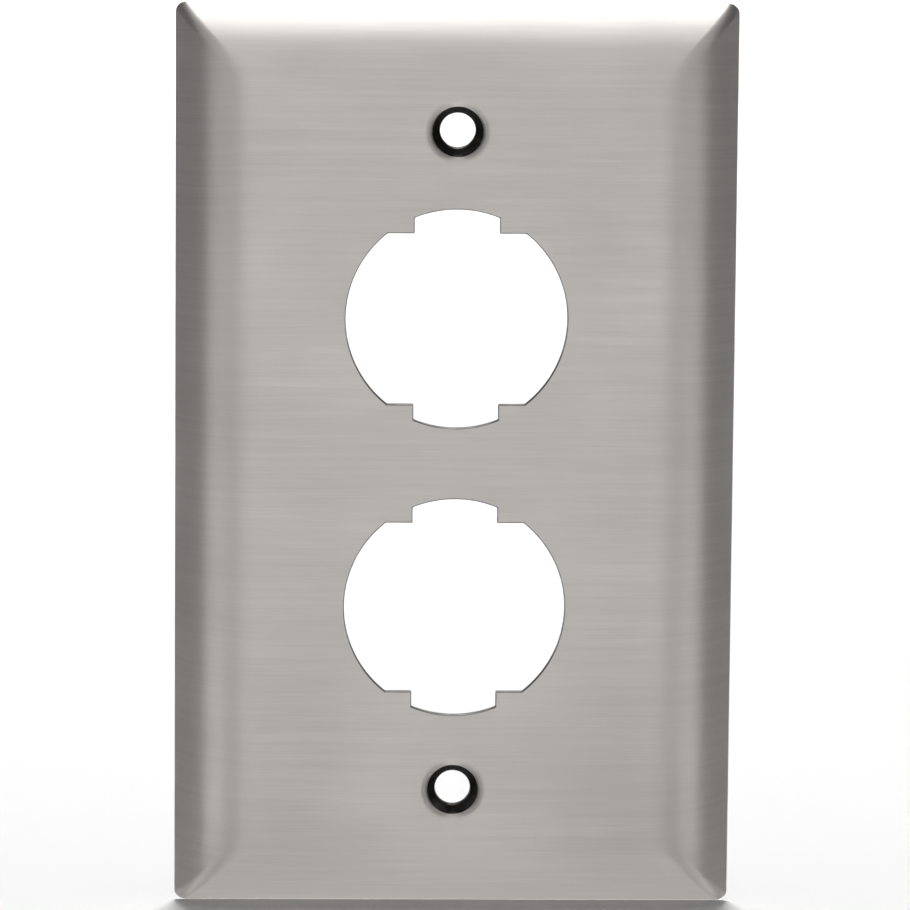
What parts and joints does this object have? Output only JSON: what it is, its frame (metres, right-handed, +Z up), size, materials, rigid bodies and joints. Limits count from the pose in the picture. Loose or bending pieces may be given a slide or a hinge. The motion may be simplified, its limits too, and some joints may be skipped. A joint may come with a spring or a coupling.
{
  "type": "electrical wall plate cover",
  "caption": "Dished rectangular metal wall plate with keyed round device openings, pressed screw dimples and a foam gasket in its hollow back.",
  "frame": {"origin": "middle of the line between the screw holes, on the wall plane that the rim and the gasket's back lie on", "axes": "+Z up along the screw line; +X to the right of someone facing the plate; the front faces -Y and the back faces the wall at +Y"},
  "size_m": [0.0698, 0.0056, 0.1142],
  "materials": {
    "brushed_stainless": "satin",
    "gasket_foam": "matte"
  },
  "bodies": {
    "root": {"faceplate": "brushed_stainless", "rear_gasket": "gasket_foam"}
  },
  "joints": []
}
